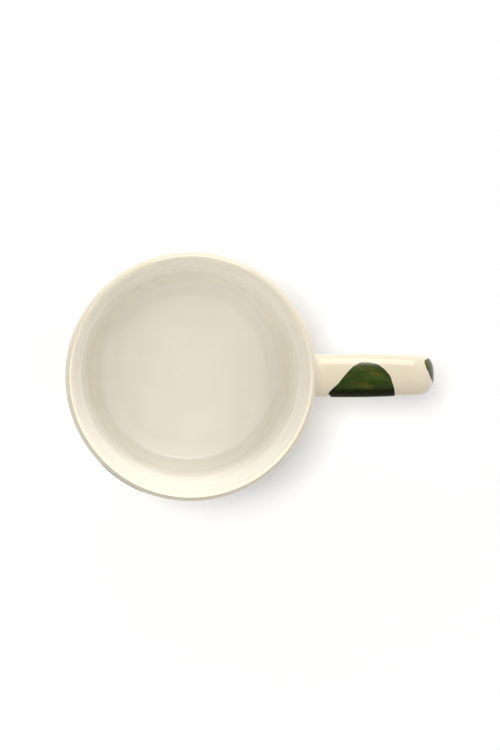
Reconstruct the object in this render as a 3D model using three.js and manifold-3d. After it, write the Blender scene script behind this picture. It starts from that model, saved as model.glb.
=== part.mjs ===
// A stoneware mug: a tapered vessel on a low foot ring, with a squared loop handle stuck on at the
// side, a glaze coat inside and out, and round green dabs brushed over the glaze.
// Millimetres, +Z up. The foot stands on Z = 0 and the handle reaches along +X. The origin is the
// centre of the footprint's bounding box, so the mug's own axis lies a little to -X of it.

import * as THREE from "three";
import { mergeVertices } from "three/addons/utils/BufferGeometryUtils.js";
import Module from "manifold-3d";

// Outside of the vessel, measured over the glaze
const HEIGHT = 88;
const RIM_RADIUS = 45; // the widest ring, a little below the top of the lip
const RIM_DROP = 3; // how far below the top that ring lies
const LIP_CREST_RADIUS = 43.3; // the ring along the top of the lip
const BASE_RADIUS = 41.4; // where the wall turns in to the foot
const BASE_TURN_HEIGHT = 13;
const UPRIGHT_HEIGHT = 56; // the wall leans out below this height and stands upright above it

// Inside of the vessel, measured over the glaze
const LIP_LEVEL = 1; // the crest runs nearly level for this far before the mouth falls away
const FLARE_RADIUS = 40.25; // where the flared mouth meets the steeper wall
const FLARE_DEPTH = 28;
const FLARE_LEAN = 6; // degrees from upright at that ring
const FLARE_PULL = 16; // how far up that lean is felt
const WALL_FOOT_RADIUS = 39; // where the wall starts to turn in to the floor
const WALL_FOOT_HEIGHT = 24;
const TURN_RADIUS = 38.5; // the corner that the turn is drawn towards
const TURN_HEIGHT = 10.4;
const FLOOR_RADIUS = 35.6;
const FLOOR_HEIGHT = 8.2;
const FLOOR_DISH = 0.5; // the floor is this much lower in the middle

// Foot ring
const FOOT_OUTER_RADIUS = 34;
const FOOT_INNER_RADIUS = 29;
const FOOT_EDGE = 0.6; // bevel at its outer edge
const FOOT_RECESS = 2;
const FOOT_RECESS_SLOPE = 1.2; // how far its inner side leans in over the recess's height
const FOOT_BARE_HEIGHT = 2.6; // the dipped coat stops this far above the table
const BASE_GLAZE_RADIUS = 26.8;

// Coats
const GLAZE = 0.5;
const COAT_GAP = 0.08; // between a coat and the surface it lies on
const CUT_GAP = 0.3; // between two pieces where one is cut to fit the other

// Handle strap, measured over the glaze
const STRAP_WIDTH = 15.6;
const STRAP_THICKNESS = 8.4;
const STRAP_NARROWS_FROM = 60; // from the mug's axis, on the level stretch
const STRAP_NARROWS_OVER = 20; // and down the strap, below the level stretch
const STRAP_END_WIDTH = 0.91; // the width from there to the lower end, as a share
const HANDLE_REACH = 89.2; // from the mug's axis to the outer face of the strap
const HANDLE_TOP_DROP = 9; // from the top of the lip to the top of the strap
const CORNER_RADIUS = 5.2; // of the strap's centre line at its upper outer corner
const STRAP_FALL = 36; // how far below the corner the strap still heads straight down
const LOWER_SWEEP = 24; // how far from the lower end the strap still heads for the wall
const LOWER_STRAIGHT = 6;
const LOWER_ROOT_HEIGHT = 24;
const LOWER_ROOT_SLOPE = 18; // degrees that the strap drops towards the wall at its lower end
const ROOT_DEPTH = 4; // how far the strap's blank runs into the wall before it is trimmed

// Collars of slip round the strap's two roots
const COLLAR_SPREAD = 1.7; // how far a collar stands out around the strap at the wall
const COLLAR_LENGTH = 2.2;
const COLLAR_EDGE = 0.25; // thickness of its thin edge
const COLLAR_DEPTH = 7; // how far its blank runs into the wall before it is trimmed

// Brushed dabs
const DAB_THICKNESS = 0.35;
const WALL_DAB_RADIUS = 12.4;
const DAB_TALLNESS = 1.06;
const FIRST_DAB_ANGLE = 234.5;
const FIRST_DAB_HEIGHT = 77;
const GOLDEN_ANGLE = 137.5;
const DAB_STEP = 5.6; // each dab round the wall lies this much lower than the last
const DAB_PLACES = 12;
const STRAP_KEEP_OUT = 30; // degrees either side of the handle that stay clear
const TOP_DAB_CENTRE_X = 62.5; // from the mug's axis
const TOP_DAB_RADIUS = 11.9;
const END_DAB_RADIUS = 5.4;
const END_DAB_TALLNESS = 1.9;
const END_DAB_CENTRE_Y = 1.4;
const END_DAB_DROP = 6; // below the middle of the strap's level stretch

// Facets
const LATHE_SEGMENTS = 36;
const SECTION_POINTS = 12;
const STRAP_STEPS = 38;
const COLLAR_SEGMENTS = 24;
const DAB_POINTS = 16;
const PRISM_DEPTH = 16; // of the blanks that cut a dab out of a coat of paint

const FOOTPRINT_CENTRE_X = (HANDLE_REACH + COAT_GAP + DAB_THICKNESS - RIM_RADIUS) / 2;
const CLAY_INSET = GLAZE + COAT_GAP;
const STRAP_CENTRE_HEIGHT = HEIGHT - HANDLE_TOP_DROP - STRAP_THICKNESS / 2;
const STRAP_CENTRE_REACH = HANDLE_REACH - STRAP_THICKNESS / 2;

const { degToRad } = THREE.MathUtils;
const wasm = await Module();
wasm.setup();

// ---------------------------------------------------------------- solids

function toSolid(geometry) {
  const bare = geometry.index ? geometry.toNonIndexed() : geometry.clone();
  bare.deleteAttribute("normal");
  bare.deleteAttribute("uv");
  const merged = mergeVertices(bare, 1e-3);
  return new wasm.Manifold(
    new wasm.Mesh({
      numProp: 3,
      vertProperties: merged.attributes.position.array,
      triVerts: new Uint32Array(merged.index.array),
    }),
  );
}

function toGeometry(solid) {
  const mesh = solid.getMesh();
  const geometry = new THREE.BufferGeometry();
  geometry.setAttribute("position", new THREE.BufferAttribute(mesh.vertProperties, 3));
  geometry.setIndex(new THREE.BufferAttribute(mesh.triVerts, 1));
  geometry.computeVertexNormals();
  return geometry;
}

// A solid of revolution about Z. The profile's points are (radius, height), and run anticlockwise
// round the section: outwards along the underside, up the outside and back down the inside.
function revolve(profile) {
  return toSolid(new THREE.LatheGeometry(profile, LATHE_SEGMENTS).rotateX(Math.PI / 2));
}

// A line of points moved sideways, to the right of its direction of travel.
function offsetLine(points, distance) {
  return points.map((point, i) => {
    const before = points[Math.max(i - 1, 0)];
    const after = points[Math.min(i + 1, points.length - 1)];
    const into = point === before ? after.clone().sub(point) : point.clone().sub(before);
    const out = point === after ? into.clone() : after.clone().sub(point);
    const side = new THREE.Vector2(into.y, -into.x).normalize();
    const nextSide = new THREE.Vector2(out.y, -out.x).normalize();
    const mitre = side.clone().add(nextSide).normalize();
    return point.clone().addScaledVector(mitre, distance / mitre.dot(side));
  });
}

// ---------------------------------------------------------------- vessel profile

// The glazed outside, from the foot up to the crest of the lip.
function outerLine() {
  const base = new THREE.Vector2(BASE_RADIUS, BASE_TURN_HEIGHT);
  const rim = new THREE.Vector2(RIM_RADIUS, HEIGHT - RIM_DROP);
  const shoulder = new THREE.QuadraticBezierCurve(
    new THREE.Vector2(FOOT_OUTER_RADIUS + FOOT_EDGE, FOOT_BARE_HEIGHT),
    new THREE.Vector2(BASE_RADIUS - FOOT_EDGE, FOOT_BARE_HEIGHT + FOOT_EDGE),
    base,
  ).getPoints(4);
  const wall = new THREE.QuadraticBezierCurve(
    base,
    new THREE.Vector2(RIM_RADIUS, UPRIGHT_HEIGHT),
    rim,
  ).getPoints(4);
  const lip = new THREE.EllipseCurve(
    LIP_CREST_RADIUS, rim.y, RIM_RADIUS - LIP_CREST_RADIUS, RIM_DROP, 0, Math.PI / 2,
  ).getPoints(3);
  return [...shoulder, ...wall.slice(1), ...lip.slice(1)];
}

// The glazed inside, from the crest of the lip down to the middle of the floor.
function innerLine() {
  const crease = new THREE.Vector2(FLARE_RADIUS, HEIGHT - FLARE_DEPTH);
  const flare = new THREE.CubicBezierCurve(
    new THREE.Vector2(LIP_CREST_RADIUS, HEIGHT),
    new THREE.Vector2(LIP_CREST_RADIUS - LIP_LEVEL, HEIGHT),
    new THREE.Vector2(FLARE_RADIUS + FLARE_PULL * Math.tan(degToRad(FLARE_LEAN)), crease.y + FLARE_PULL),
    crease,
  ).getPoints(5);
  const turn = new THREE.QuadraticBezierCurve(
    new THREE.Vector2(WALL_FOOT_RADIUS, WALL_FOOT_HEIGHT),
    new THREE.Vector2(TURN_RADIUS, TURN_HEIGHT),
    new THREE.Vector2(FLOOR_RADIUS, FLOOR_HEIGHT),
  ).getPoints(4);
  return [...flare, ...turn, new THREE.Vector2(0, FLOOR_HEIGHT - FLOOR_DISH)];
}

const OUTER = outerLine();
const INNER = innerLine();

// Both lines keep the clay on their left, so a negative offset goes into the clay. The last point
// of the floor stays on the axis.
function clayBody() {
  const surface = offsetLine([...OUTER, ...INNER.slice(1)], -CLAY_INSET);
  surface[surface.length - 1].x = 0;
  return revolve([
    new THREE.Vector2(0, FOOT_RECESS),
    new THREE.Vector2(FOOT_INNER_RADIUS - FOOT_RECESS_SLOPE, FOOT_RECESS),
    new THREE.Vector2(FOOT_INNER_RADIUS, 0),
    new THREE.Vector2(FOOT_OUTER_RADIUS - FOOT_EDGE, 0),
    new THREE.Vector2(FOOT_OUTER_RADIUS, FOOT_EDGE),
    ...surface,
  ]);
}

function outerGlaze() {
  const back = offsetLine(OUTER, -GLAZE);
  back[back.length - 1].x = LIP_CREST_RADIUS;
  return revolve([...OUTER, ...back.reverse(), OUTER[0].clone()]);
}

function linerGlaze() {
  const surface = INNER.map((point) => point.clone());
  surface[0].x -= COAT_GAP;
  const back = offsetLine(surface, -GLAZE);
  back[0].x = surface[0].x;
  back[back.length - 1].x = 0;
  return revolve([...back.reverse(), ...surface]);
}

// The coat in the recess of the foot, on the underside of the floor.
function baseGlaze() {
  const top = FOOT_RECESS - COAT_GAP;
  return revolve([
    new THREE.Vector2(0, top - GLAZE),
    new THREE.Vector2(BASE_GLAZE_RADIUS - GLAZE, top - GLAZE),
    new THREE.Vector2(BASE_GLAZE_RADIUS, top),
    new THREE.Vector2(0, top),
  ]);
}

// Everything inside the vessel's outer surface, grown by a clearance: it trims what meets the wall.
function vesselTool(clearance) {
  const wall = offsetLine(OUTER, clearance);
  return revolve([
    new THREE.Vector2(0, wall[0].y),
    ...wall,
    new THREE.Vector2(0, wall[wall.length - 1].y),
  ]);
}

// A thin layer of paint all over the outside, which the dabs are cut out of. It stops on the
// rounding of the lip, short of the crest.
function wallPaint() {
  const painted = OUTER.slice(0, -2);
  const inner = offsetLine(painted, COAT_GAP);
  const outer = offsetLine(painted, COAT_GAP + DAB_THICKNESS);
  return revolve([...outer, ...inner.reverse(), outer[0].clone()]);
}

// ---------------------------------------------------------------- handle

// The strap's centre line in the plane of the mug's axis: level away from the wall, round a tight
// corner, then down and back in a long curve to a straight lower end.
class StrapPath extends THREE.Curve {
  constructor() {
    super();
    const slope = degToRad(LOWER_ROOT_SLOPE);
    const run = new THREE.Vector2(Math.cos(slope), Math.sin(slope));
    const root = new THREE.Vector2(BASE_RADIUS, LOWER_ROOT_HEIGHT);
    const end = root.clone().addScaledVector(run, -ROOT_DEPTH / 2);
    const straight = root.clone().addScaledVector(run, LOWER_STRAIGHT);
    const sweep = straight.clone().addScaledVector(run, LOWER_SWEEP);
    const corner = new THREE.Vector2(STRAP_CENTRE_REACH, STRAP_CENTRE_HEIGHT);
    this.side = new THREE.Path();
    this.side.moveTo(RIM_RADIUS - ROOT_DEPTH, corner.y);
    this.side.lineTo(corner.x - CORNER_RADIUS, corner.y);
    this.side.absarc(
      corner.x - CORNER_RADIUS, corner.y - CORNER_RADIUS, CORNER_RADIUS, Math.PI / 2, 0, true,
    );
    this.side.bezierCurveTo(
      corner.x, corner.y - STRAP_FALL, sweep.x, sweep.y, straight.x, straight.y,
    );
    this.side.lineTo(end.x, end.y);
  }

  getPoint(t, target = new THREE.Vector3()) {
    const point = this.side.getPoint(t);
    return target.set(point.x, 0, point.y);
  }
}

const STRAP_PATH = new StrapPath();

function sectionOutline(grow) {
  const points = [];
  for (let i = 0; i < SECTION_POINTS; i += 1) {
    const angle = (2 * Math.PI * i) / SECTION_POINTS;
    points.push(new THREE.Vector2(
      (STRAP_THICKNESS / 2 + grow) * Math.cos(angle),
      (STRAP_WIDTH / 2 + grow) * Math.sin(angle),
    ));
  }
  return points;
}

// The strap's width at a place on it, as a share of its width at the upper root.
function strapNarrowing(x, z) {
  const out = THREE.MathUtils.smoothstep(x, STRAP_NARROWS_FROM, HANDLE_REACH);
  const underside = STRAP_CENTRE_HEIGHT - STRAP_THICKNESS;
  const down = THREE.MathUtils.smoothstep(underside - z, 0, STRAP_NARROWS_OVER);
  return THREE.MathUtils.lerp(1, STRAP_END_WIDTH, Math.max(out, down));
}

// The strap out to an offset of its glazed surface, either full or hollow from a second offset in.
function strap(grow, hollowGrow = null) {
  const section = new THREE.Shape(sectionOutline(grow));
  if (hollowGrow !== null) section.holes.push(new THREE.Path(sectionOutline(hollowGrow)));
  const geometry = new THREE.ExtrudeGeometry(section, {
    steps: STRAP_STEPS,
    bevelEnabled: false,
    extrudePath: STRAP_PATH,
  });
  const place = geometry.attributes.position;
  for (let i = 0; i < place.count; i += 1) {
    place.setY(i, place.getY(i) * strapNarrowing(place.getX(i), place.getZ(i)));
  }
  return toSolid(geometry);
}

// A concave fillet round the strap's root: a solid of revolution about the strap's own line, drawn
// out sideways to the strap's width. It runs on into the wall, where the vessel trims it.
function collarBlank(grow, root, slopeDegrees) {
  const strapRadius = STRAP_THICKNESS / 2 + grow;
  const length = COLLAR_LENGTH + grow;
  const profile = [
    new THREE.Vector2(0, -COLLAR_DEPTH),
    new THREE.Vector2(strapRadius + COLLAR_SPREAD + COLLAR_EDGE, -COLLAR_DEPTH),
  ];
  for (let i = 0; i <= 4; i += 1) {
    const turn = (Math.PI / 2) * (i / 4);
    profile.push(new THREE.Vector2(
      strapRadius + COLLAR_EDGE + COLLAR_SPREAD * (1 - Math.sin(turn)),
      length * (1 - Math.cos(turn)),
    ));
  }
  profile.push(new THREE.Vector2(0, length));
  const geometry = new THREE.LatheGeometry(profile, COLLAR_SEGMENTS);
  const widening = (STRAP_WIDTH - STRAP_THICKNESS) / 2;
  const place = geometry.attributes.position;
  for (let i = 0; i < place.count; i += 1) {
    const across = place.getX(i);
    const round = Math.hypot(across, place.getZ(i));
    if (round > 0) place.setX(i, across + (widening * across) / round);
  }
  geometry.rotateZ(-Math.PI / 2);
  geometry.rotateY(degToRad(-slopeDegrees));
  geometry.translate(root.x, 0, root.y);
  return toSolid(geometry);
}

function upperCollarBlank(grow) {
  return collarBlank(grow, new THREE.Vector2(RIM_RADIUS, STRAP_CENTRE_HEIGHT), 0);
}

function lowerCollarBlank(grow) {
  return collarBlank(grow, new THREE.Vector2(BASE_RADIUS, LOWER_ROOT_HEIGHT), LOWER_ROOT_SLOPE);
}

// ---------------------------------------------------------------- brushed dabs

// A prism along +Z of a round dab's outline, which is uneven in a way that depends on which dab it is.
function dabPrism(radiusX, radiusY, which) {
  const points = [];
  for (let i = 0; i < DAB_POINTS; i += 1) {
    const angle = (2 * Math.PI * i) / DAB_POINTS;
    const uneven = 1 + 0.05 * Math.sin(2 * angle + 1.7 * which) + 0.04 * Math.sin(3 * angle + 2.3 * which);
    points.push(new THREE.Vector2(
      radiusX * uneven * Math.cos(angle),
      radiusY * uneven * Math.sin(angle),
    ));
  }
  return new THREE.ExtrudeGeometry(new THREE.Shape(points), { depth: PRISM_DEPTH, bevelEnabled: false });
}

// The same prism turned to point along +X, with its outline's y upright.
function standingPrism(radiusX, radiusY, which) {
  return dabPrism(radiusX, radiusY, which).rotateX(Math.PI / 2).rotateZ(Math.PI / 2);
}

// Places round the wall, each a golden angle on from the last and one step lower, so that the dabs
// spread evenly. The first dab reaches up to the lip. Places that would lie by the strap are left out.
function wallDabPlaces() {
  const places = [];
  for (let which = 0; which < DAB_PLACES; which += 1) {
    const angle = (FIRST_DAB_ANGLE + which * GOLDEN_ANGLE) % 360;
    const clearOfStrap = Math.min(angle, 360 - angle) >= STRAP_KEEP_OUT;
    if (clearOfStrap) places.push({ angle, height: FIRST_DAB_HEIGHT - which * DAB_STEP, which });
  }
  return places;
}

function wallDab(paint, { angle, height, which }) {
  const prism = standingPrism(WALL_DAB_RADIUS, WALL_DAB_RADIUS * DAB_TALLNESS, which);
  prism.translate(RIM_RADIUS - PRISM_DEPTH / 2, 0, height).rotateZ(degToRad(angle));
  return paint.intersect(toSolid(prism));
}

// The dab on top of the strap is a half moon folded over the strap's -Y edge.
function topDab(paint) {
  const prism = dabPrism(TOP_DAB_RADIUS, TOP_DAB_RADIUS, 5);
  prism.translate(TOP_DAB_CENTRE_X, -STRAP_WIDTH / 2, STRAP_CENTRE_HEIGHT - PRISM_DEPTH / 2);
  return paint.intersect(toSolid(prism));
}

// The dab on the strap's outer face starts just over the corner and hangs down.
function endDab(paint) {
  const prism = standingPrism(END_DAB_RADIUS, END_DAB_RADIUS * END_DAB_TALLNESS, 2);
  prism.translate(STRAP_CENTRE_REACH, END_DAB_CENTRE_Y, STRAP_CENTRE_HEIGHT - END_DAB_DROP);
  return paint.intersect(toSolid(prism));
}

// ---------------------------------------------------------------- assembly

const CLAY = { color: 0xb59a78, roughness: 0.85, metalness: 0 };
const SLIP = { color: 0xeee6d2, roughness: 0.3, metalness: 0 };
const CREAM_GLAZE = { color: 0xf1e9d6, roughness: 0.15, metalness: 0 };
const GREEN_GLAZE = { color: 0x2f4a1e, roughness: 0.2, metalness: 0 };

const mug = new THREE.Group();
const vessel = new THREE.Group();
vessel.position.x = -FOOTPRINT_CENTRE_X;
mug.add(vessel);

function addPiece(name, solid, finish) {
  const mesh = new THREE.Mesh(toGeometry(solid), new THREE.MeshStandardMaterial(finish));
  mesh.name = name;
  vessel.add(mesh);
}

const glazedWall = vesselTool(CUT_GAP);
const glazedStrap = strap(CUT_GAP);
const collars = upperCollarBlank(CUT_GAP).add(lowerCollarBlank(CUT_GAP));
const clayWall = vesselTool(CUT_GAP - CLAY_INSET);
const clayStrap = strap(CUT_GAP - CLAY_INSET);

addPiece("mug_body", clayBody(), CLAY);
addPiece("handle", strap(-CLAY_INSET).subtract(clayWall), CLAY);
addPiece("upper_handle_joint", upperCollarBlank(0).subtract(clayStrap).subtract(clayWall), SLIP);
addPiece("lower_handle_joint", lowerCollarBlank(0).subtract(clayStrap).subtract(clayWall), SLIP);
addPiece("liner_glaze", linerGlaze(), CREAM_GLAZE);
addPiece("outer_glaze", outerGlaze().subtract(glazedStrap).subtract(collars), CREAM_GLAZE);
addPiece("handle_glaze", strap(0, -GLAZE).subtract(glazedWall).subtract(collars), CREAM_GLAZE);
addPiece("base_glaze", baseGlaze(), CREAM_GLAZE);

const paintedWall = wallPaint();
wallDabPlaces().forEach((place, i) => {
  addPiece(`wall_dab_${String(i + 1).padStart(2, "0")}`, wallDab(paintedWall, place), GREEN_GLAZE);
});

const paintedStrap = strap(COAT_GAP + DAB_THICKNESS, COAT_GAP);
addPiece("handle_dab_top", topDab(paintedStrap).subtract(collars), GREEN_GLAZE);
addPiece("handle_dab_end", endDab(paintedStrap), GREEN_GLAZE);

export default mug;
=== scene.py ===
"""A stoneware mug seen from above: smooth glazed surfaces, brushed dabs and a studio, in metres."""
import bisect
import math

import bpy
from mathutils import Matrix, Vector


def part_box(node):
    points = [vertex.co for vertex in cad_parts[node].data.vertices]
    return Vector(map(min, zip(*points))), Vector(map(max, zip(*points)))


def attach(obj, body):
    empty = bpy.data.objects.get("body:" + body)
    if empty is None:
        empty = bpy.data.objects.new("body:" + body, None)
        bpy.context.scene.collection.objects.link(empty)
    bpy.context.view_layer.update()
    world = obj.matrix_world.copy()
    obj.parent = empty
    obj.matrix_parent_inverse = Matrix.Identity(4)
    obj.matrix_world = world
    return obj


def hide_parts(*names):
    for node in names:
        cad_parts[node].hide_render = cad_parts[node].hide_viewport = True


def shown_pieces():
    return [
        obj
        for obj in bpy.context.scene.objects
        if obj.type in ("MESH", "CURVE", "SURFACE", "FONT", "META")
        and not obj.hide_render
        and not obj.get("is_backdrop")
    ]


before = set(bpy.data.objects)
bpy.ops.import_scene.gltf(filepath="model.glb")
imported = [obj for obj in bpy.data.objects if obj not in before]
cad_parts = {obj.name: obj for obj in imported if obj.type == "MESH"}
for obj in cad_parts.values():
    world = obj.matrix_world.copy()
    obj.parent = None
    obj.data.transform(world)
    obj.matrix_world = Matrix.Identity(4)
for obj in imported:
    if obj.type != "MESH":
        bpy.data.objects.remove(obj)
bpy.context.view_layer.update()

MM = 0.001

# ---------------------------------------------------------------- sizes from the frame

LINER_LOW, LINER_HIGH = (Vector(corner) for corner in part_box("liner_glaze"))
OUTER_LOW, OUTER_HIGH = (Vector(corner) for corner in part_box("outer_glaze"))
STRAP_HIGH = Vector(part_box("handle_glaze")[1])
AXIS_X = (LINER_LOW.x + LINER_HIGH.x) / 2
HEIGHT = LINER_HIGH.z
RIM_RADIUS = (OUTER_HIGH.y - OUTER_LOW.y) / 2
EXTRA_REACH = 0.5 * MM  # past the frame's own handle
HANDLE_REACH = STRAP_HIGH.x - AXIS_X + EXTRA_REACH

# ---------------------------------------------------------------- the vessel's own sizes

RIM_DROP = 3 * MM
LIP_CREST_RADIUS = 43.3 * MM
LIP_LEVEL = 1.9 * MM
BASE_RADIUS = 41.4 * MM
BASE_TURN_HEIGHT = 13 * MM
UPRIGHT_HEIGHT = 56 * MM
FLARE_RADIUS = 40.25 * MM
FLARE_DEPTH = 28 * MM
FLARE_LEAN = math.radians(6)
FLARE_PULL = 16 * MM
WALL_FOOT_RADIUS = 39 * MM
WALL_FOOT_HEIGHT = 24 * MM
TURN_RADIUS = 38.3 * MM
TURN_HEIGHT = 11.6 * MM
SHELF_RADIUS = 35.6 * MM
SHELF_HEIGHT = 9.3 * MM
FLOOR_RADIUS = 30.2 * MM
FLOOR_HEIGHT = 8.1 * MM
FLOOR_DISH = 0.1 * MM
FOOT_OUTER_RADIUS = 34 * MM
FOOT_INNER_RADIUS = 29 * MM
FOOT_EDGE = 0.6 * MM
FOOT_RECESS = 2 * MM
FOOT_RECESS_SLOPE = 1.2 * MM
FOOT_BARE_HEIGHT = 2.6 * MM
BASE_GLAZE_RADIUS = 26.8 * MM
GLAZE = 0.5 * MM
COAT_GAP = 0.08 * MM
OUT_OF_ROUND = 0.004  # share of the radius
THREE_SIDED = 0.0006  # share of the radius
THREE_SIDED_PHASE = 1.0

TURN_RINGS_HEIGHT = 3.5 * MM  # above the floor
TURN_RINGS_SPREAD = 3.0 * MM
TURN_RINGS_SIZE = 0.035
TURN_RINGS_PITCH = 0.45 * MM
WALL_RINGS_START = (6 * MM, 20 * MM)
WALL_RINGS_END = (56 * MM, 70 * MM)
WALL_RINGS_SIZE = 0.012
WALL_RINGS_PITCH = 2.6 * MM

STRAP_WIDTH = 15.6 * MM
STRAP_THICKNESS = 8.4 * MM
STRAP_NARROWS_FROM = 60 * MM
STRAP_NARROWS_OVER = 20 * MM
STRAP_END_WIDTH = 0.91
STRAP_SQUARENESS = 2.3
HANDLE_TOP_DROP = 9 * MM
CORNER_RADIUS = 5.2 * MM
STRAP_FALL = 36 * MM
LOWER_SWEEP = 24 * MM
LOWER_STRAIGHT = 6 * MM
LOWER_ROOT_HEIGHT = 24 * MM
LOWER_ROOT_SLOPE = math.radians(18)
UPPER_ROOT_RADIUS = 43 * MM
LOWER_ROOT_DEPTH = 3 * MM
ROOT_COVER = 1.2 * MM
ROOT_SPREAD = 1.4 * MM
ROOT_FADE = 0.8 * MM
UPPER_JOINT_LENGTH = 3.4 * MM  # out from the rim's radius
LOWER_JOINT_LENGTH = 5.0 * MM  # out from the wall
STRAP_CENTRE_HEIGHT = HEIGHT - HANDLE_TOP_DROP - STRAP_THICKNESS / 2
STRAP_CENTRE_REACH = HANDLE_REACH - STRAP_THICKNESS / 2

LATHE_SEGMENTS = 224
LINE_STEP = 0.5 * MM
TURN_STEP = 0.3 * MM
PATH_STEP = 0.45 * MM
SECTION_POINTS = 56
STRAP_STEP = 0.9 * MM
JOINT_STEP = 0.25 * MM
LONGEST_JOINT = 8 * MM
HALF_TURN_STEPS = 200
DAB_SPOKES = 180
DAB_RINGS = 30
DAB_LIFT = 0.10 * MM
DAB_SINK = 0.12 * MM
RING_CROWDING = 1.6
EDGE_STEEPNESS = 14


# ---------------------------------------------------------------- curves

def quadratic(a, b, c, count):
    points = []
    for i in range(count + 1):
        t = i / count
        points.append(a * (1 - t) ** 2 + b * 2 * t * (1 - t) + c * t * t)
    return points


def cubic(a, b, c, d, count):
    points = []
    for i in range(count + 1):
        t = i / count
        s = 1 - t
        points.append(a * s ** 3 + b * 3 * t * s * s + c * 3 * t * t * s + d * t ** 3)
    return points


def lengths(points):
    out = [0.0]
    for before, after in zip(points, points[1:]):
        out.append(out[-1] + (after - before).length)
    return out


def at_length(points, marks, where):
    where = min(max(where, 0.0), marks[-1])
    i = min(max(bisect.bisect_right(marks, where) - 1, 0), len(points) - 2)
    share = (where - marks[i]) / max(marks[i + 1] - marks[i], 1e-12)
    return points[i].lerp(points[i + 1], share)


def even(points, step):
    marks = lengths(points)
    count = max(2, round(marks[-1] / step))
    return [at_length(points, marks, marks[-1] * i / count) for i in range(count + 1)]


def relax(points, rounds):
    """Soften the joins of a line whose ends stay put."""
    for _ in range(rounds):
        inner = [(a + 2 * b + c) / 4 for a, b, c in zip(points, points[1:], points[2:])]
        points = [points[0], *inner, points[-1]]
    return points


def offset_line(points, distance):
    """Move a line to the right of its direction of travel."""
    moved = []
    for i, point in enumerate(points):
        before = points[max(i - 1, 0)]
        after = points[min(i + 1, len(points) - 1)]
        along = (after - before).normalized()
        moved.append(point + Vector((along.y, -along.x)) * distance)
    return moved


def smoothstep(value, low, high):
    t = min(max((value - low) / (high - low), 0.0), 1.0)
    return t * t * (3 - 2 * t)


# ---------------------------------------------------------------- vessel lines

def outer_line():
    base = Vector((BASE_RADIUS, BASE_TURN_HEIGHT))
    rim = Vector((RIM_RADIUS, HEIGHT - RIM_DROP))
    start = Vector((FOOT_OUTER_RADIUS + FOOT_EDGE, FOOT_BARE_HEIGHT))
    pull = Vector((BASE_RADIUS - FOOT_EDGE, FOOT_BARE_HEIGHT + FOOT_EDGE))
    line = quadratic(start, pull, base, 30)
    line += quadratic(base, Vector((RIM_RADIUS, UPRIGHT_HEIGHT)), rim, 60)[1:]
    for i in range(1, 17):
        turn = math.pi / 2 * i / 16
        line.append(Vector((
            LIP_CREST_RADIUS + (RIM_RADIUS - LIP_CREST_RADIUS) * math.cos(turn),
            rim.y + RIM_DROP * math.sin(turn),
        )))
    return relax(even(line, LINE_STEP), 4)


def throwing_rings(line):
    """Soft ridges left by the potter's fingers, strongest where the wall turns in to the floor."""
    ridged = []
    for point, side in zip(line, offset_line(line, 1.0)):
        out = side - point
        depth = point.y - FLOOR_HEIGHT
        turn = math.exp(-((depth - TURN_RINGS_HEIGHT) / TURN_RINGS_SPREAD) ** 2)
        wall = smoothstep(depth, *WALL_RINGS_START) * (1 - smoothstep(depth, *WALL_RINGS_END))
        wave = turn * TURN_RINGS_SIZE * math.sin(depth / TURN_RINGS_PITCH)
        wave += wall * WALL_RINGS_SIZE * math.sin(depth / WALL_RINGS_PITCH)
        ridged.append(point + out * wave * MM)
    return ridged


def inner_line():
    crest = Vector((LIP_CREST_RADIUS, HEIGHT))
    crease = Vector((FLARE_RADIUS, HEIGHT - FLARE_DEPTH))
    pull = crease + Vector((math.tan(FLARE_LEAN), 1.0)) * FLARE_PULL
    wall_foot = Vector((WALL_FOOT_RADIUS, WALL_FOOT_HEIGHT))
    shelf = Vector((SHELF_RADIUS, SHELF_HEIGHT))
    floor_edge = Vector((FLOOR_RADIUS, FLOOR_HEIGHT))
    flare = cubic(crest, crest - Vector((LIP_LEVEL, 0)), pull, crease, 60)
    wall = [crease.lerp(wall_foot, i / 40) for i in range(1, 41)]
    turn = quadratic(wall_foot, Vector((TURN_RADIUS, TURN_HEIGHT)), shelf, 40)[1:]
    turn += quadratic(shelf, Vector((FLOOR_RADIUS + 2 * MM, FLOOR_HEIGHT)), floor_edge, 20)[1:]
    lower = relax(even([wall_foot] + turn, TURN_STEP), 3)
    side = relax(even(flare + wall, LINE_STEP)[:-1] + lower, 3)
    floor = []
    for i in range(1, 61):
        radius = FLOOR_RADIUS * (1 - i / 60)
        dish = FLOOR_DISH * (1 - (radius / FLOOR_RADIUS) ** 2)
        floor.append(Vector((radius, FLOOR_HEIGHT - dish)))
    return throwing_rings(side + floor)


OUTER = outer_line()
INNER = inner_line()
OUTER_HEIGHTS = [point.y for point in OUTER]


def uneven(angle):
    """How far out of round the vessel is, as a factor on its radius."""
    oval = OUT_OF_ROUND * math.cos(2 * angle)
    return 1 + oval + THREE_SIDED * math.sin(3 * angle + THREE_SIDED_PHASE)


def wall_radius(height):
    """The outside wall's radius at a height, before it goes out of round."""
    height = min(max(height, OUTER_HEIGHTS[0]), OUTER_HEIGHTS[-1])
    i = min(bisect.bisect_left(OUTER_HEIGHTS, height), len(OUTER) - 1)
    low, high = OUTER[max(i - 1, 0)], OUTER[i]
    share = (height - low.y) / max(high.y - low.y, 1e-9)
    return low.x + (high.x - low.x) * min(max(share, 0.0), 1.0)


# ---------------------------------------------------------------- meshes

def mesh_object(name, verts, faces, sharp_degrees=40):
    mesh = bpy.data.meshes.new(name)
    mesh.from_pydata([tuple(v) for v in verts], [], faces)
    mesh.validate()
    mesh.polygons.foreach_set("use_smooth", [True] * len(mesh.polygons))
    mesh.set_sharp_from_angle(angle=math.radians(sharp_degrees))
    piece = bpy.data.objects.new(name, mesh)
    bpy.context.scene.collection.objects.link(piece)
    return piece


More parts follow.
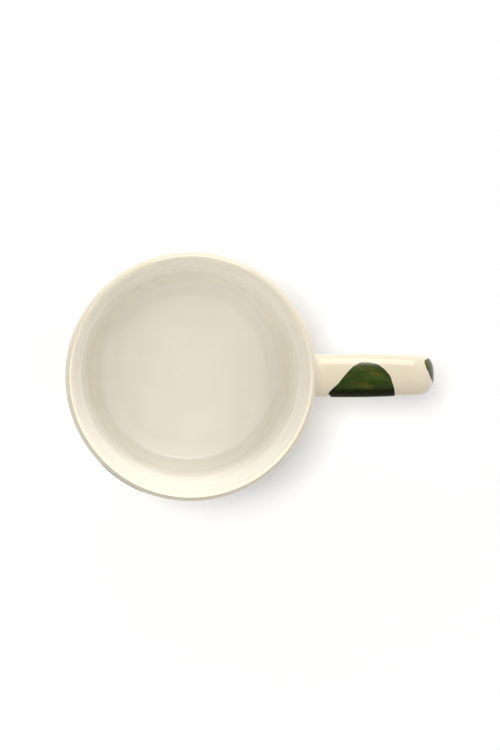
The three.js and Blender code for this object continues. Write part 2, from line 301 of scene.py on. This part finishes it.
def lathe(name, profile, closed):
    """Turn a section about the mug's axis. A closed section is a loop; an open one ends on the axis."""
    verts = []
    rings = []
    for point in profile:
        if point.x < 1e-6:
            rings.append([len(verts)])
            verts.append(Vector((AXIS_X, 0, point.y)))
            continue
        ring = []
        for i in range(LATHE_SEGMENTS):
            angle = 2 * math.pi * i / LATHE_SEGMENTS
            radius = point.x * uneven(angle)
            ring.append(len(verts))
            verts.append(Vector((AXIS_X + radius * math.cos(angle), radius * math.sin(angle), point.y)))
        rings.append(ring)
    faces = []
    pairs = list(zip(rings, rings[1:]))
    if closed:
        pairs.append((rings[-1], rings[0]))
    for low, high in pairs:
        for i in range(LATHE_SEGMENTS):
            j = (i + 1) % LATHE_SEGMENTS
            if len(low) == 1:
                faces.append((low[0], high[j], high[i]))
            elif len(high) == 1:
                faces.append((low[i], low[j], high[0]))
            else:
                faces.append((low[i], low[j], high[j], high[i]))
    return mesh_object(name, verts, faces)


def clay_body():
    inset = GLAZE + COAT_GAP
    surface = offset_line(OUTER + INNER[1:], -inset)
    surface[-1] = Vector((0, INNER[-1].y - inset))
    bevel = 0.35 * MM
    foot = [
        Vector((0, FOOT_RECESS)),
        Vector((FOOT_INNER_RADIUS - FOOT_RECESS_SLOPE - bevel, FOOT_RECESS)),
        Vector((FOOT_INNER_RADIUS - FOOT_RECESS_SLOPE + bevel / 2, FOOT_RECESS - bevel)),
        Vector((FOOT_INNER_RADIUS - bevel / 2, bevel)),
        Vector((FOOT_INNER_RADIUS + bevel, 0)),
        Vector((FOOT_OUTER_RADIUS - FOOT_EDGE, 0)),
        Vector((FOOT_OUTER_RADIUS - FOOT_EDGE / 3, FOOT_EDGE / 3)),
        Vector((FOOT_OUTER_RADIUS, FOOT_EDGE)),
    ]
    return lathe("clay_body", foot + surface, closed=False)


def outer_coat():
    """The dipped coat ends above the foot in a thick rolled edge."""
    back = offset_line(OUTER, -GLAZE)
    back[-1].x = LIP_CREST_RADIUS
    edge = (OUTER[0] + back[0]) / 2 - Vector((0, 0.2 * MM))
    return lathe("outer_coat", OUTER + back[::-1] + [edge], closed=True)


def liner_coat():
    back = offset_line(INNER, -GLAZE)
    back[0].x = LIP_CREST_RADIUS
    back[-1] = Vector((0, INNER[-1].y - GLAZE))
    return lathe("liner_coat", back[::-1] + INNER, closed=False)


def base_coat():
    top = FOOT_RECESS - COAT_GAP
    line = [Vector((0, top - GLAZE))]
    line += [Vector((BASE_GLAZE_RADIUS * i / 24 - 0.5 * MM, top - GLAZE)) for i in range(4, 25)]
    line += [Vector((BASE_GLAZE_RADIUS - 0.1 * MM, top - GLAZE / 2)), Vector((BASE_GLAZE_RADIUS, top))]
    line += [Vector((0, top))]
    return lathe("base_coat", line, closed=False)


# ---------------------------------------------------------------- handle

def strap_path():
    """The strap's centre line as (distance from the axis, height)."""
    run = Vector((math.cos(LOWER_ROOT_SLOPE), math.sin(LOWER_ROOT_SLOPE)))
    root = Vector((BASE_RADIUS, LOWER_ROOT_HEIGHT))
    straight = root + run * LOWER_STRAIGHT
    sweep = straight + run * LOWER_SWEEP
    corner = Vector((STRAP_CENTRE_REACH, STRAP_CENTRE_HEIGHT))
    centre = corner - Vector((CORNER_RADIUS, CORNER_RADIUS))
    start = Vector((UPPER_ROOT_RADIUS, corner.y))
    line = [start.lerp(Vector((centre.x, corner.y)), i / 40) for i in range(40)]
    for i in range(25):
        turn = math.pi / 2 * (1 - i / 24)
        line.append(centre + Vector((math.cos(turn), math.sin(turn))) * CORNER_RADIUS)
    fall = corner - Vector((0, STRAP_FALL))
    line += cubic(Vector((corner.x, centre.y)), fall, sweep, straight, 80)[1:]
    line += [straight.lerp(root - run * LOWER_ROOT_DEPTH, i / 12) for i in range(1, 13)]
    return relax(even(line, PATH_STEP), 6)


PATH = strap_path()
PATH_MARKS = lengths(PATH)
CORNER_MARK = STRAP_CENTRE_REACH - CORNER_RADIUS - UPPER_ROOT_RADIUS


def strap_narrowing(reach, height):
    out = smoothstep(reach, STRAP_NARROWS_FROM, HANDLE_REACH)
    down = smoothstep(STRAP_CENTRE_HEIGHT - STRAP_THICKNESS - height, 0, STRAP_NARROWS_OVER)
    return 1 + (STRAP_END_WIDTH - 1) * max(out, down)


def section_point(turn, half_thick, half_wide):
    """A squared ellipse: turn 0 is the outside of the loop and a quarter turn is the -Y edge."""
    power = 2 / STRAP_SQUARENESS
    c, s = math.cos(turn), math.sin(turn)
    return (
        math.copysign(abs(c) ** power, c) * half_thick,
        -math.copysign(abs(s) ** power, s) * half_wide,
    )


def stay_in_wall(point):
    """Stop the strap's root inside the thickness of the wall."""
    away = Vector((point.x - AXIS_X, point.y))
    limit = wall_radius(point.z) - ROOT_COVER
    if away.length >= limit:
        return point
    away *= limit / away.length
    return Vector((AXIS_X + away.x, away.y, point.z))


def strap_point(mark, turn, lift=0.0):
    """A point on the strap, with the fillet that spreads on to the wall at both roots."""
    centre = at_length(PATH, PATH_MARKS, mark)
    ahead = at_length(PATH, PATH_MARKS, mark + 0.4 * MM)
    behind = at_length(PATH, PATH_MARKS, mark - 0.4 * MM)
    along = (ahead - behind).normalized()
    outward = Vector((-along.y, along.x))
    narrow = strap_narrowing(centre.x, centre.y)

    def place(spread):
        half_thick = STRAP_THICKNESS / 2 + spread
        half_wide = STRAP_WIDTH / 2 * narrow + spread
        thick, wide = section_point(turn, half_thick, half_wide)
        spot = centre + outward * thick
        return Vector((AXIS_X + spot.x, wide, spot.y))

    bare = place(lift)
    gap = math.hypot(bare.x - AXIS_X, bare.y) - wall_radius(bare.z)
    point = place(lift + ROOT_SPREAD * math.exp(-max(gap, 0.0) / ROOT_FADE))
    return stay_in_wall(point)


def strap_piece(name, start, end):
    """A closed length of the strap. A short length, where it meets the wall, has finer steps."""
    step = JOINT_STEP if end - start < LONGEST_JOINT else STRAP_STEP
    count = max(2, round((end - start) / step))
    verts = []
    faces = []
    for i in range(count + 1):
        mark = start + (end - start) * i / count
        for j in range(SECTION_POINTS):
            verts.append(strap_point(mark, 2 * math.pi * j / SECTION_POINTS))
    for i in range(count):
        for j in range(SECTION_POINTS):
            k = (j + 1) % SECTION_POINTS
            a, b = i * SECTION_POINTS, (i + 1) * SECTION_POINTS
            faces.append((a + j, b + j, b + k, a + k))
    last = count * SECTION_POINTS
    faces.append(tuple(range(SECTION_POINTS)))
    faces.append(tuple(range(last + SECTION_POINTS - 1, last - 1, -1)))
    return mesh_object(name, verts, faces)


# ---------------------------------------------------------------- brushed dabs

def closed_curve(points, count):
    """A smooth loop through a few points, sampled evenly by parameter."""
    loop = []
    total = len(points)
    for i in range(count):
        where = total * i / count
        k = int(where)
        t = where - k
        p0, p1, p2, p3 = (Vector(points[(k + d) % total]) for d in (-1, 0, 1, 2))
        loop.append(0.5 * (
            2 * p1 + (p2 - p0) * t
            + (2 * p0 - 5 * p1 + 4 * p2 - p3) * t * t
            + (3 * p1 - p0 - 3 * p2 + p3) * t ** 3
        ))
    return loop


# Waves round a dab's edge, size as a share of its radius, and phase step from dab to dab.
EDGE_WAVER = ((5, 0.010, 2.1), (9, 0.006, 1.3), (17, 0.003, 0.7))


def bristly(loop, which):
    """Give a dab's edge the small waver of a loaded brush."""
    middle = sum(loop, Vector((0, 0))) / len(loop)
    out = []
    for i, point in enumerate(loop):
        turn = 2 * math.pi * i / len(loop)
        waver = sum(size * math.sin(waves * turn + phase * which) for waves, size, phase in EDGE_WAVER)
        out.append(middle + (point - middle) * (1 + waver))
    return out


def dab_piece(name, loop, surface, brush_turn, pool_and_shade_levels):
    """A thin raised patch inside a loop. surface(u, v, lift) gives the place of a point of it.

    The colour turns near black where v falls below the pair of levels given, in millimetres: partly pooled
    paint, partly painted shade on the side away from the light.
    """
    middle = sum(loop, Vector((0, 0))) / len(loop)
    verts = []
    brush = []
    for side in (1, -1):
        for ring in range(DAB_RINGS + 1):
            share = ring / DAB_RINGS
            share = 1 - (1 - share) ** RING_CROWDING
            for point in loop:
                spot = middle + (point - middle) * share
                lift = -DAB_SINK
                if side == 1:
                    edge = max(0.0, 1 - share ** EDGE_STEEPNESS) ** 0.5
                    lift = -DAB_SINK + (DAB_SINK + DAB_LIFT) * edge
                verts.append(surface(spot.x, spot.y, lift))
                turned = Matrix.Rotation(brush_turn, 2) @ spot
                # The near-black band below the given levels: partly pooled paint, partly painted shade.
                pooled_and_shaded = 1 - smoothstep(spot.y / MM, *pool_and_shade_levels)
                brush.append((turned.x / MM, turned.y / MM, pooled_and_shaded))
                if ring == 0:
                    break
    per_side = 1 + DAB_RINGS * DAB_SPOKES

    def index(side, ring, spoke):
        base = 0 if side == 1 else per_side
        return base if ring == 0 else base + 1 + (ring - 1) * DAB_SPOKES + spoke % DAB_SPOKES

    faces = []
    for spoke in range(DAB_SPOKES):
        faces.append((index(1, 0, 0), index(1, 1, spoke), index(1, 1, spoke + 1)))
        faces.append((index(-1, 0, 0), index(-1, 1, spoke + 1), index(-1, 1, spoke)))
        for ring in range(1, DAB_RINGS):
            corners = ((ring, spoke), (ring + 1, spoke), (ring + 1, spoke + 1), (ring, spoke + 1))
            faces.append(tuple(index(1, r, s) for r, s in corners))
            faces.append(tuple(index(-1, r, s) for r, s in reversed(corners)))
        rim = ((1, spoke), (-1, spoke), (-1, spoke + 1), (1, spoke + 1))
        faces.append(tuple(index(side, DAB_RINGS, s) for side, s in rim))
    piece = mesh_object(name, verts, faces, sharp_degrees=75)
    marks = piece.data.attributes.new("brush", "FLOAT_VECTOR", "POINT")
    marks.data.foreach_set("vector", [value for row in brush for value in row])
    return piece


DAB_HIGHEST = HEIGHT - RIM_DROP * 0.55
DAB_LOWEST = FOOT_BARE_HEIGHT + 1.2 * MM


def wall_surface(angle, height):
    """Patch coordinates round and up the wall, about one place on it."""
    def surface(u, v, lift):
        level = min(height + v, DAB_HIGHEST)
        level = max(level, DAB_LOWEST)
        turn = angle + u / RIM_RADIUS
        step = 0.3 * MM
        radius = wall_radius(level)
        lean = (wall_radius(level + step) - wall_radius(level - step)) / (2 * step)
        normal = Vector((1.0, -lean)).normalized()
        radius = radius * uneven(turn) + normal.x * lift
        return Vector((
            AXIS_X + radius * math.cos(turn),
            radius * math.sin(turn),
            level + normal.y * lift,
        ))
    return surface


def strap_turns():
    """Turn round the strap's section against distance along its outline from the -Y edge."""
    steps = range(-HALF_TURN_STEPS, 2 * HALF_TURN_STEPS + 1)
    turns = [math.pi * (0.5 - i / HALF_TURN_STEPS) for i in steps]
    spots = [Vector(section_point(t, STRAP_THICKNESS / 2, STRAP_WIDTH / 2)) for t in turns]
    marks = lengths(spots)
    zero = marks[HALF_TURN_STEPS]
    return [mark - zero for mark in marks], turns


STRAP_AROUND, STRAP_TURNS = strap_turns()
STRAP_OUTSIDE_MIDDLE = STRAP_AROUND[HALF_TURN_STEPS * 3 // 2]


def strap_surface(start):
    """Patch coordinates along the strap and round it from its -Y edge over the outside."""
    def surface(u, v, lift):
        i = min(max(bisect.bisect_right(STRAP_AROUND, v) - 1, 0), len(STRAP_AROUND) - 2)
        share = (v - STRAP_AROUND[i]) / (STRAP_AROUND[i + 1] - STRAP_AROUND[i])
        turn = STRAP_TURNS[i] + (STRAP_TURNS[i + 1] - STRAP_TURNS[i]) * share
        return strap_point(start + u, turn, lift)
    return surface


WALL_DAB_RADIUS = 12.4 * MM
DAB_TALLNESS = 1.06
DAB_OVAL = 0.05
DAB_SKEW = 0.04
FIRST_DAB_ANGLE = 234.5
FIRST_DAB_HEIGHT = 77 * MM
GOLDEN_ANGLE = 137.5
DAB_STEP = 5.6 * MM
DAB_PLACES = 12
STRAP_KEEP_OUT = 30
WALL_POOL_AND_SHADE = (-12, -6)


def wall_dabs():
    """Dabs that wind down the wall by the golden angle, leaving out those under the strap."""
    pieces = []
    for which in range(DAB_PLACES):
        angle = (FIRST_DAB_ANGLE + which * GOLDEN_ANGLE) % 360
        if min(angle, 360 - angle) < STRAP_KEEP_OUT:
            continue
        loop = []
        for i in range(DAB_SPOKES):
            turn = 2 * math.pi * i / DAB_SPOKES
            oval = DAB_OVAL * math.sin(2 * turn + 1.7 * which)
            size = 1 + oval + DAB_SKEW * math.sin(3 * turn + 2.3 * which)
            loop.append(Vector((math.cos(turn), DAB_TALLNESS * math.sin(turn))) * size * WALL_DAB_RADIUS)
        number = len(pieces) + 1
        surface = wall_surface(math.radians(angle), FIRST_DAB_HEIGHT - which * DAB_STEP)
        brush_turn = 0.5 * math.sin(1.9 * which)
        piece = dab_piece(f"dab_{number:02d}", bristly(loop, which), surface, brush_turn, WALL_POOL_AND_SHADE)
        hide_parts(f"wall_dab_{number:02d}")
        pieces.append(piece)
    return pieces


# Along the strap from the dab's middle, and round it from the -Y edge over the top, in millimetres.
TOP_DAB = [
    (-11.6, 1.4), (-12.3, 3.0), (-11.3, 5.0), (-8.4, 8.1), (-4.6, 12.5), (-2.0, 14.4), (0.9, 15.3),
    (3.7, 15.1), (6.4, 14.0), (8.8, 12.0), (10.6, 9.6), (11.8, 6.2), (12.3, 2.0),
    (11.9, -3.0), (9.2, -7.0), (4.0, -9.0), (-2.0, -9.0), (-7.5, -6.5), (-10.8, -2.0),
]
TOP_DAB_MIDDLE = 62.3 * MM  # from the mug's axis
# On the strap the near-black band is its -Y side, away from the light: painted shade, partly pooled paint.
TOP_POOL_AND_SHADE = (4.4, 6.4)
# Along the strap from the start of its corner, and round it from the middle of the outside.
END_DAB = [
    (3.3, 5.6), (3.4, 3.2), (4.6, -0.4), (6.3, -3.0), (8.4, -4.8), (13.0, -6.2),
    (18.5, -4.6), (21.5, 0.0), (19.5, 5.0), (14.0, 7.6), (9.0, 8.0), (5.2, 7.3),
]
END_POOL_AND_SHADE = (-9, -6)


def handle_dabs():
    top_loop = [point * MM for point in closed_curve(TOP_DAB, DAB_SPOKES)]
    start = TOP_DAB_MIDDLE - UPPER_ROOT_RADIUS
    top = dab_piece("strap_dab_top", bristly(top_loop, 3), strap_surface(start), 0.06, TOP_POOL_AND_SHADE)
    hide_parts("handle_dab_top")
    end_loop = [
        (point + Vector((0, STRAP_OUTSIDE_MIDDLE / MM))) * MM
        for point in closed_curve(END_DAB, DAB_SPOKES)
    ]
    end = dab_piece("strap_dab_end", bristly(end_loop, 7), strap_surface(CORNER_MARK), 1.2, END_POOL_AND_SHADE)
    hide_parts("handle_dab_end")
    return [top, end]


# ---------------------------------------------------------------- materials

class Nodes:
    """A short way to write a node tree."""

    def __init__(self, name):
        self.material = bpy.data.materials.new(name)
        self.material.use_nodes = True
        self.tree = self.material.node_tree
        self.shader = self.tree.nodes["Principled BSDF"]

    def add(self, kind, settings=None, **inputs):
        node = self.tree.nodes.new(kind)
        for key, value in (settings or {}).items():
            setattr(node, key, value)
        for key, value in inputs.items():
            self.set(node, key.replace("_", " "), value)
        return node

    def set(self, node, key, value):
        socket = node.inputs[key]
        if isinstance(value, bpy.types.NodeSocket):
            self.tree.links.new(value, socket)
        else:
            socket.default_value = value

    def noise(self, vector, scale, detail=3.0, roughness=0.5):
        node = self.add("ShaderNodeTexNoise", Vector=vector, Scale=scale, Detail=detail, Roughness=roughness)
        return node.outputs["Fac"]

    def ramp(self, value, stops):
        node = self.add("ShaderNodeValToRGB", Fac=value)
        ramp = node.color_ramp
        while len(ramp.elements) < len(stops):
            ramp.elements.new(0.5)
        for element, (place, color) in zip(ramp.elements, stops):
            element.position = place
            element.color = (*color, 1.0)
        return node.outputs["Color"]

    def mix(self, factor, a, b, blend="MIX"):
        node = self.add("ShaderNodeMix", {"data_type": "RGBA", "blend_type": blend})
        self.set(node, 0, factor)
        self.set(node, 6, a)
        self.set(node, 7, b)
        return node.outputs[2]

    def math(self, operation, a, b=0.0):
        node = self.add("ShaderNodeMath", {"operation": operation})
        self.set(node, 0, a)
        self.set(node, 1, b)
        return node.outputs[0]

    def spread(self, value, to_low, to_high, source=(0.0, 1.0)):
        node = self.add("ShaderNodeMapRange", Value=value)
        ends = {"From Min": source[0], "From Max": source[1], "To Min": to_low, "To Max": to_high}
        for key, end in ends.items():
            node.inputs[key].default_value = end
        return node.outputs["Result"]

    def stretch(self, vector, scale):
        node = self.add("ShaderNodeMapping", Vector=vector)
        node.inputs["Scale"].default_value = scale
        return node.outputs["Vector"]

    def place(self):
        return self.add("ShaderNodeTexCoord").outputs["Object"]

    def bump(self, height, strength, distance):
        node = self.add("ShaderNodeBump", Height=height, Strength=strength, Distance=distance)
        self.set(self.shader, "Normal", node.outputs["Normal"])


def rgb(red, green, blue):
    """An 8-bit display colour as linear values."""

    def linear(value):
        value /= 255
        return value / 12.92 if value <= 0.04045 else ((value + 0.055) / 1.055) ** 2.4
    return (linear(red), linear(green), linear(blue))


# Painted shade: a darker, warmer tone blended in towards the rim, to tone down the lip.
LIP_SHADE_TONE = rgb(226, 218, 198)
THIN_TONE = rgb(220, 200, 165)
LIP_BLEND = 7 * MM  # down from the top


def cream_glaze(name, low, high):
    """Glossy cream over clay: faintly cloudy, warmer in patches where it thins over the lip, and darker
    towards the rim as painted shade.
    """
    n = Nodes(name)
    place = n.place()
    cloud = n.noise(n.stretch(place, (1, 1, 0.6)), 28, 4, 0.55)
    body = n.ramp(cloud, [(0.3, low), (0.7, high)])
    height = n.add("ShaderNodeSeparateXYZ", Vector=place).outputs["Z"]
    near_lip = n.spread(height, 0.0, 1.0, (HEIGHT - LIP_BLEND, HEIGHT))
    patchy = n.noise(place, 160, 3, 0.6)
    thin = n.math("MULTIPLY", near_lip, n.math("MULTIPLY", patchy, 0.15))
    # Painted shade: the lip band is darkened towards the rim.
    lip = n.math("MULTIPLY", near_lip, 0.9)
    body = n.mix(lip, body, (*LIP_SHADE_TONE, 1))
    color = n.mix(thin, body, (*THIN_TONE, 1))
    n.set(n.shader, "Base Color", color)
    n.set(n.shader, "Roughness", n.spread(n.noise(place, 60, 3, 0.6), 0.05, 0.11))
    n.set(n.shader, "IOR", 1.5)
    n.bump(n.noise(place, 120, 2, 0.5), 0.10, 0.0001)
    return n.material


def green_glaze():
    """Brushed green: streaks along the stroke, thin and olive in places, near black in a band that is partly
    pooled paint and partly painted shade.
    """
    n = Nodes("green_glaze")
    brush = n.add("ShaderNodeAttribute", {"attribute_name": "brush"}).outputs["Vector"]
    pooled_and_shaded = n.add("ShaderNodeSeparateXYZ", Vector=brush).outputs["Z"]
    streak = n.noise(n.stretch(brush, (0.06, 0.30, 0.0)), 1.0, 3, 0.5)
    fine = n.noise(n.stretch(brush, (0.30, 2.6, 0.0)), 1.0, 4, 0.7)
    patch = n.noise(n.stretch(brush, (0.08, 0.26, 0.0)), 1.0, 4, 0.6)
    deep = n.ramp(streak, [
        (0.34, rgb(38, 54, 12)), (0.48, rgb(46, 66, 16)),
        (0.60, rgb(56, 80, 30)), (0.74, rgb(72, 92, 40)),
    ])
    olive = n.ramp(patch, [(0.46, (0, 0, 0)), (0.60, (1, 1, 1))])
    olive_share = n.math("MULTIPLY", olive, n.math("MULTIPLY", fine, 1.3))
    color = n.mix(olive_share, deep, (*rgb(94, 84, 12), 1))
    dark = n.ramp(fine, [(0.34, (0.7, 0.7, 0.7)), (0.50, (1, 1, 1))])
    color = n.mix(0.7, color, dark, "MULTIPLY")
    bristle = n.ramp(fine, [(0.42, rgb(10, 13, 0)), (0.68, rgb(46, 52, 18))])
    # Near black in the band: partly pooled paint, partly painted shade.
    color = n.mix(n.math("MULTIPLY", pooled_and_shaded, 0.96), color, bristle)
    n.set(n.shader, "Base Color", color)
    n.set(n.shader, "Roughness", n.spread(fine, 0.14, 0.30))
    n.set(n.shader, "IOR", 1.5)
    shine = n.math("SUBTRACT", 0.5, n.math("MULTIPLY", pooled_and_shaded, 0.42))
    n.set(n.shader, "Specular IOR Level", shine)
    height = n.math("ADD", n.math("MULTIPLY", pooled_and_shaded, 1.6), 0.4)
    n.bump(n.math("MULTIPLY", n.math("ADD", streak, fine), height), 0.5, 0.0001)
    return n.material


def bare_clay():
    """Fired buff clay with fine grog and a few dark specks."""
    n = Nodes("bare_clay")
    place = n.place()
    grain = n.noise(place, 900, 6, 0.7)
    warm = n.noise(place, 45, 3, 0.5)
    body = n.ramp(warm, [(0.35, rgb(176, 146, 112)), (0.65, rgb(199, 172, 138))])
    body = n.mix(0.35, body, n.ramp(grain, [(0.3, rgb(120, 96, 70)), (0.6, rgb(214, 190, 158))]))
    specks = n.add("ShaderNodeTexVoronoi", Vector=place, Scale=1400.0)
    speck = n.ramp(specks.outputs["Distance"], [(0.12, (1, 1, 1)), (0.2, (0, 0, 0))])
    sparse = n.ramp(n.noise(place, 500, 2, 0.5), [(0.58, (0, 0, 0)), (0.62, (1, 1, 1))])
    color = n.mix(n.math("MULTIPLY", speck, sparse), body, (*rgb(70, 48, 34), 1))
    n.set(n.shader, "Base Color", color)
    n.set(n.shader, "Roughness", 0.88)
    n.bump(grain, 0.6, 0.0001)
    return n.material


# ---------------------------------------------------------------- studio

CAMERA_HEIGHT = 650 * MM  # above the rim
CAMERA_OFFSET = Vector((-8.6, 20.5)) * MM  # from the mug's axis
AIM_OFFSET = Vector((20.97, 0.72)) * MM  # on the rim's plane
FRAME_HEIGHT = 268.4 * MM  # seen on the rim's plane


def camera():
    """Look down into the mug, with the lens set by how much of the rim's plane is in view."""
    data = bpy.data.cameras.new("camera")
    data.sensor_fit = "VERTICAL"
    data.sensor_height = 24
    eye = Vector((AXIS_X + CAMERA_OFFSET.x, CAMERA_OFFSET.y, HEIGHT + CAMERA_HEIGHT))
    aim = Vector((AXIS_X + AIM_OFFSET.x, AIM_OFFSET.y, HEIGHT))
    data.lens = data.sensor_height * (eye - aim).length / FRAME_HEIGHT
    data.clip_start = 0.01
    piece = bpy.data.objects.new("camera", data)
    bpy.context.scene.collection.objects.link(piece)
    forward = (aim - eye).normalized()
    right = forward.cross(Vector((0, 1, 0))).normalized()
    up = right.cross(forward)
    piece.matrix_world = Matrix.Translation(eye) @ Matrix((right, up, -forward)).transposed().to_4x4()
    bpy.context.scene.camera = piece


def softbox(name, things, place, size, power, glossy=True, target=(0, 0, 0.04)):
    """A panel aimed at the mug, in metres and watts, that lights only the things it is given."""
    light = bpy.data.lights.new(name, "AREA")
    light.shape = "RECTANGLE"
    light.size, light.size_y = size
    light.energy = power
    piece = bpy.data.objects.new(name, light)
    bpy.context.scene.collection.objects.link(piece)
    piece.location = place
    aim = Vector(target) - Vector(place)
    piece.rotation_euler = aim.to_track_quat("-Z", "Y").to_euler()
    piece.visible_glossy = glossy
    group = bpy.data.collections.new(name + "_lights")
    for thing in things:
        group.objects.link(thing)
    piece.light_linking.receiver_collection = group


SKY_SHADE = {"From Min": 0.5, "From Max": 0.95, "To Min": 0.72, "To Max": 0.12}


def sky():
    """An even white room that is dim overhead."""
    world = bpy.data.worlds.new("studio")
    bpy.context.scene.world = world
    world.use_nodes = True
    tree = world.node_tree
    place = tree.nodes.new("ShaderNodeTexCoord")
    split = tree.nodes.new("ShaderNodeSeparateXYZ")
    shade = tree.nodes.new("ShaderNodeMapRange")
    tree.links.new(place.outputs["Generated"], split.inputs[0])
    tree.links.new(split.outputs["Z"], shade.inputs["Value"])
    for key, value in SKY_SHADE.items():
        shade.inputs[key].default_value = value
    background = tree.nodes["Background"]
    background.inputs["Color"].default_value = (1.0, 1.0, 1.0, 1.0)
    tree.links.new(shade.outputs["Result"], background.inputs["Strength"])


FLOOR_HALF = 3
FLOOR_SHADE = 0.93
FLOOR_GLOW = 0.16


def floor_plane():
    """A wide pale floor that glows a little, so that it comes out white."""
    corners = [(x * FLOOR_HALF, y * FLOOR_HALF, 0) for x, y in ((-1, -1), (1, -1), (1, 1), (-1, 1))]
    floor = mesh_object("floor", corners, [(0, 1, 2, 3)])
    n = Nodes("pale_floor")
    n.set(n.shader, "Base Color", (FLOOR_SHADE, FLOOR_SHADE, FLOOR_SHADE, 1))
    n.set(n.shader, "Roughness", 0.9)
    n.set(n.shader, "Specular IOR Level", 0.0)
    n.set(n.shader, "Emission Color", (1, 1, 1, 1))
    n.set(n.shader, "Emission Strength", FLOOR_GLOW)
    floor.data.materials.append(n.material)
    floor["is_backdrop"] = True
    return floor


def studio(pieces, cup):
    """One key lamp on every piece, and separate lamps for the outside, the cup and the floor."""
    floor = floor_plane()
    sky()
    outside = [piece for piece in pieces if piece != cup]
    softbox("key", pieces, place=(0.10, 1.25, 1.0), size=(1.2, 1.1), power=16)
    softbox("overhead", outside, place=(-0.05, 0.12, 1.9), size=(1.4, 1.4), power=9, glossy=False)
    softbox("cup_light", [cup], place=(0.22, 0.50, 0.90), size=(1.5, 1.5), power=7.9)
    softbox("cup_fill", [cup], place=(-0.26, -0.38, 0.9), size=(0.9, 0.9), power=3.4, glossy=False)
    softbox(
        "floor_light", [floor], place=(-0.33, 0.20, 2.4), size=(0.45, 0.45), power=29,
        glossy=False, target=(0, 0, 0),
    )
    settings = bpy.context.scene.view_settings
    settings.view_transform = "Standard"
    settings.look = "None"
    settings.exposure = 0.0


# ---------------------------------------------------------------- assembly

def finish_piece(piece, material, slot, *nodes):
    """Give a piece its material, its body and the nodes that it stands for. The slot is not used."""
    piece.data.materials.clear()
    piece.data.materials.append(material)
    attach(piece, "root")
    if nodes:
        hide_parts(*nodes)


camera()
# Inside and outside take two copies of one cream glaze; the inside's copy is lighter, painted light that
# brightens the cup.
CREAM = cream_glaze("cream_glaze", rgb(226, 213, 187), rgb(233, 221, 197))
LIGHTENED_LINER = cream_glaze("liner_glaze", rgb(243, 239, 229), rgb(248, 244, 235))
GREEN = green_glaze()
CLAY = bare_clay()

finish_piece(clay_body(), CLAY, "clay", "mug_body")
finish_piece(outer_coat(), CREAM, "cream_glaze", "outer_glaze")
finish_piece(liner_coat(), LIGHTENED_LINER, "cream_glaze", "liner_glaze")
finish_piece(base_coat(), CREAM, "cream_glaze", "base_glaze")

PATH_END = PATH_MARKS[-1]
UPPER_JOINT_END = RIM_RADIUS - UPPER_ROOT_RADIUS + UPPER_JOINT_LENGTH
LOWER_JOINT_START = PATH_END - LOWER_ROOT_DEPTH - LOWER_JOINT_LENGTH
upper_joint = strap_piece("upper_joint", 0.0, UPPER_JOINT_END)
strap_coat = strap_piece("strap_coat", UPPER_JOINT_END, LOWER_JOINT_START)
lower_joint = strap_piece("lower_joint", LOWER_JOINT_START, PATH_END)
finish_piece(upper_joint, CREAM, "slip", "upper_handle_joint")
finish_piece(strap_coat, CREAM, "cream_glaze", "handle_glaze")
finish_piece(lower_joint, CREAM, "slip", "lower_handle_joint")

for dab in wall_dabs() + handle_dabs():
    finish_piece(dab, GREEN, "green_glaze")

# The frame's own strap stays, inside its coat.
strap_clay = bpy.data.objects["handle"]
strap_clay.data.materials.clear()
strap_clay.data.materials.append(CLAY)

studio(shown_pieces(), bpy.data.objects["liner_coat"])
